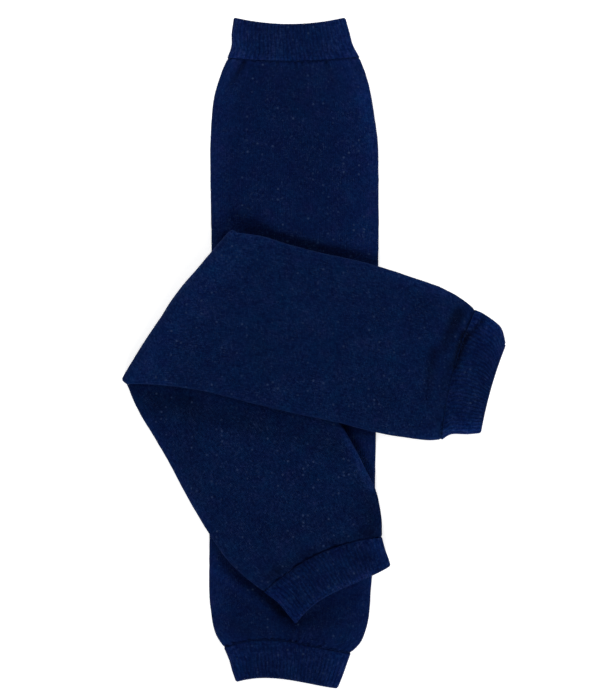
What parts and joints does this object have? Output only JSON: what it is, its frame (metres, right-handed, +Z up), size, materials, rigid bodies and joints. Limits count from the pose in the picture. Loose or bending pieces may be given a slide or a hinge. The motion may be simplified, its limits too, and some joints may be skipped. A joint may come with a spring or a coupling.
{
  "type": "pair of knitted leg warmers",
  "caption": "Pair of fine-knit leg warmers laid flat, tubes with a ribbed cuff at each end, one straight and the other folded on a slant over it.",
  "frame": {"origin": "the middle of the pair's plan box, on the surface that the pair lies on", "axes": "+Z up from that surface, +Y along the straight leg towards its top cuff, +X to the right of that leg seen from above"},
  "size_m": [0.1765, 0.3085, 0.01],
  "materials": {
    "navy_knit": "fine plain knit, matte",
    "navy_rib": "fine rib knit, matte"
  },
  "bodies": {
    "root": {"straight_leg_tube": "navy_knit", "straight_bottom_cuff": "navy_rib", "straight_top_cuff": "navy_rib", "folded_leg_tube": "navy_knit", "folded_lower_cuff": "navy_rib", "folded_upper_cuff": "navy_rib"}
  },
  "joints": []
}
